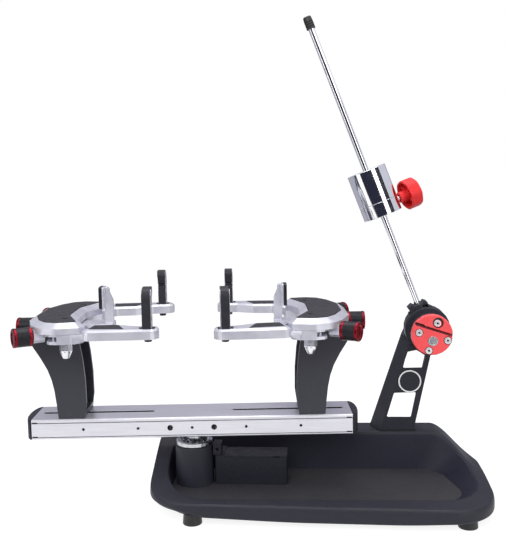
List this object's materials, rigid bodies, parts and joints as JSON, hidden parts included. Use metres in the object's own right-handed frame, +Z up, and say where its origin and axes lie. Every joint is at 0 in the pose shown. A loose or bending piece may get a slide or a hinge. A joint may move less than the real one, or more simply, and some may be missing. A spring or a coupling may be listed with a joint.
{
  "type": "racket stringing machine",
  "caption": "Drop-weight racket stringing machine with a turntable, adjustable racket mounts and a weighted tension bar.",
  "frame": {"origin": "middle of the machine's outline, on the surface that it stands on", "axes": "+Z up, +X towards the tension post at the right, -Y towards the operator"},
  "size_m": [0.7236, 0.2822, 0.751],
  "materials": {
    "tray": "black textured powder coat",
    "foot_rubber": "matte black",
    "black_plastic": "satin black",
    "steel": "plain bright steel",
    "chrome": "polished chrome",
    "red_plastic": "satin red",
    "red_metal": "red anodised",
    "beam_metal": "clear anodised",
    "tower_paint": "dark grey satin paint",
    "cast_metal": "polished casting",
    "pad": "charcoal, finely textured",
    "knob": "black grip between two red anodised rings"
  },
  "bodies": {
    "base": {"base_tray": "tray", "front_left_foot": "foot_rubber", "front_right_foot": "foot_rubber", "back_left_foot": "foot_rubber", "back_right_foot": "foot_rubber", "turntable_column": "tray", "turntable_ring": "steel", "turntable_bearing": "steel", "tool_box": "black_plastic", "brake_block": "black_plastic", "tension_post": "tray", "tension_axle": "steel"},
    "lid": {"tool_box_lid": "black_plastic"},
    "turntable": {"turntable_hub": "steel", "beam": "beam_metal", "left_beam_cap": "black_plastic", "right_beam_cap": "black_plastic"},
    "bar": {"bar_holder": "tray", "ratchet_housing": "tray", "drop_bar": "chrome", "bar_end_cap": "foot_rubber"},
    "weight": {"drop_weight": "chrome", "weight_collar": "chrome"},
    "weight_clamp": {"weight_knob": "red_plastic"},
    "gripper": {"gripper_plate": "red_metal"},
    "jaw": {"gripper_jaw": "red_metal"},
    "left_head": {"left_tower": "tower_paint", "left_clamp_bolt": "steel", "left_head_plate": "cast_metal", "left_head_pad": "pad", "left_front_pivot_bolt": "steel", "left_back_pivot_bolt": "steel"},
    "left_center": {"left_center_support": "cast_metal", "left_center_pad": "foot_rubber"},
    "left_center_adjuster": {"left_center_knob": "knob"},
    "left_front_arm_body": {"left_front_arm": "cast_metal", "left_front_arm_pad": "pad"},
    "left_front_support_body": {"left_front_side_support": "black_plastic"},
    "left_front_adjuster": {"left_front_knob": "knob"},
    "left_back_arm_body": {"left_back_arm": "cast_metal", "left_back_arm_pad": "pad"},
    "left_back_support_body": {"left_back_side_support": "black_plastic"},
    "left_back_adjuster": {"left_back_knob": "knob"},
    "right_head": {"right_tower": "tower_paint", "right_clamp_bolt": "steel", "right_head_plate": "cast_metal", "right_head_pad": "pad", "right_front_pivot_bolt": "steel", "right_back_pivot_bolt": "steel"},
    "right_center": {"right_center_support": "cast_metal", "right_center_pad": "foot_rubber"},
    "right_center_adjuster": {"right_center_knob": "knob"},
    "right_front_arm_body": {"right_front_arm": "cast_metal", "right_front_arm_pad": "pad"},
    "right_front_support_body": {"right_front_side_support": "black_plastic"},
    "right_front_adjuster": {"right_front_knob": "knob"},
    "right_back_arm_body": {"right_back_arm": "cast_metal", "right_back_arm_pad": "pad"},
    "right_back_support_body": {"right_back_side_support": "black_plastic"},
    "right_back_adjuster": {"right_back_knob": "knob"}
  },
  "joints": [
    {"name": "turntable_spin", "type": "hinge", "parent": "base", "child": "turntable", "pos_m": [-0.09021, 0, 0.109], "axis": [0, 0, 1], "continuous": true},
    {"name": "lid_hinge", "type": "hinge", "parent": "base", "child": "lid", "pos_m": [0.00579, 0.0302, 0.07], "axis": [-1, 0, 0], "range_deg": [0, 35]},
    {"name": "left_head_slide", "type": "slide", "parent": "turntable", "child": "left_head", "axis": [-0.9969, -0.0785, 0], "range_m": [-0.03, 0.038]},
    {"name": "left_center_slide", "type": "slide", "parent": "left_head", "child": "left_center", "axis": [-0.9969, -0.0785, 0], "range_m": [-0.018, 0.022]},
    {"name": "left_center_knob_turn", "type": "hinge", "parent": "left_head", "child": "left_center_adjuster", "pos_m": [-0.32947, -0.01883, 0.28325], "axis": [-0.9969, -0.0785, 0], "range_deg": [-1985, 1625]},
    {"name": "left_front_arm_swing", "type": "hinge", "parent": "left_head", "child": "left_front_arm_body", "pos_m": [-0.26436, -0.08142, 0.28235], "axis": [0, 0, -1], "range_deg": [-6, 7]},
    {"name": "left_front_support_slide", "type": "slide", "parent": "left_front_arm_body", "child": "left_front_support_body", "axis": [-0.9969, -0.0785, 0], "range_m": [-0.006, 0.009]},
    {"name": "left_front_knob_turn", "type": "hinge", "parent": "left_head", "child": "left_front_adjuster", "pos_m": [-0.30696, -0.10082, 0.28325], "axis": [-0.83, -0.5577, 0], "range_deg": [-275, 237]},
    {"name": "left_back_arm_swing", "type": "hinge", "parent": "left_head", "child": "left_back_arm_body", "pos_m": [-0.27495, 0.05317, 0.28235], "axis": [0, 0, 1], "range_deg": [-6, 7]},
    {"name": "left_back_support_slide", "type": "slide", "parent": "left_back_arm_body", "child": "left_back_support_body", "axis": [-0.9969, -0.0785, 0], "range_m": [-0.009, 0.005]},
    {"name": "left_back_knob_turn", "type": "hinge", "parent": "left_head", "child": "left_back_adjuster", "pos_m": [-0.32007, 0.06567, 0.28325], "axis": [-0.907, 0.421, 0], "range_deg": [-237, 275]},
    {"name": "right_head_slide", "type": "slide", "parent": "turntable", "child": "right_head", "axis": [0.9969, 0.0785, 0], "range_m": [-0.03, 0.038]},
    {"name": "right_center_slide", "type": "slide", "parent": "right_head", "child": "right_center", "axis": [0.9969, 0.0785, 0], "range_m": [-0.027, 0.013]},
    {"name": "right_center_knob_turn", "type": "hinge", "parent": "right_head", "child": "right_center_adjuster", "pos_m": [0.14905, 0.01883, 0.28325], "axis": [0.9969, 0.0785, 0], "range_deg": [-1175, 2435]},
    {"name": "right_front_arm_swing", "type": "hinge", "parent": "right_head", "child": "right_front_arm_body", "pos_m": [0.09453, -0.05317, 0.28235], "axis": [0, 0, 1], "range_deg": [-11, 2]},
    {"name": "right_front_support_slide", "type": "slide", "parent": "right_front_arm_body", "child": "right_front_support_body", "axis": [0.9863, 0.165, 0], "range_m": [-0.006, 0.009]},
    {"name": "right_front_knob_turn", "type": "hinge", "parent": "right_head", "child": "right_front_adjuster", "pos_m": [0.13965, -0.06567, 0.28325], "axis": [0.907, -0.421, 0], "range_deg": [-429, 83]},
    {"name": "right_back_arm_swing", "type": "hinge", "parent": "right_head", "child": "right_back_arm_body", "pos_m": [0.08394, 0.08142, 0.28235], "axis": [0, 0, -1], "range_deg": [-6, 7]},
    {"name": "right_back_support_slide", "type": "slide", "parent": "right_back_arm_body", "child": "right_back_support_body", "axis": [0.9969, 0.0785, 0], "range_m": [-0.009, 0.005]},
    {"name": "right_back_knob_turn", "type": "hinge", "parent": "right_head", "child": "right_back_adjuster", "pos_m": [0.12655, 0.10082, 0.28325], "axis": [0.83, 0.5577, 0], "range_deg": [-275, 237]},
    {"name": "bar_swing", "type": "hinge", "parent": "base", "child": "bar", "pos_m": [0.27669, 0.05, 0.2654], "axis": [0, 1, 0], "range_deg": [0, 115]},
    {"name": "weight_slide", "type": "slide", "parent": "bar", "child": "weight", "axis": [-0.3551, 0, 0.9348], "range_m": [-0.12, 0.23]},
    {"name": "weight_knob_turn", "type": "hinge", "parent": "weight", "child": "weight_clamp", "pos_m": [0.20354, 0.05, 0.45797], "axis": [0.8784, 0.342, 0.3337], "continuous": true},
    {"name": "gripper_turn", "type": "hinge", "parent": "bar", "child": "gripper", "pos_m": [0.27669, -0.007, 0.2654], "axis": [0, -1, 0], "range_deg": [0, 90]},
    {"name": "jaw_slide", "type": "slide", "parent": "gripper", "child": "jaw", "axis": [0.3074, 0, 0.9516], "range_m": [-0.0019, 0.0015]}
  ],
  "couplings": [
    {"joint": "left_center_knob_turn", "follows": "left_center_slide", "rad_per_m": -1570.8},
    {"joint": "left_front_knob_turn", "follows": "left_front_arm_swing", "ratio": -38.503},
    {"joint": "left_back_knob_turn", "follows": "left_back_arm_swing", "ratio": 38.503},
    {"joint": "right_center_knob_turn", "follows": "right_center_slide", "rad_per_m": -1570.8},
    {"joint": "right_front_knob_turn", "follows": "right_front_arm_swing", "ratio": 38.503},
    {"joint": "right_back_knob_turn", "follows": "right_back_arm_swing", "ratio": -38.503}
  ]
}
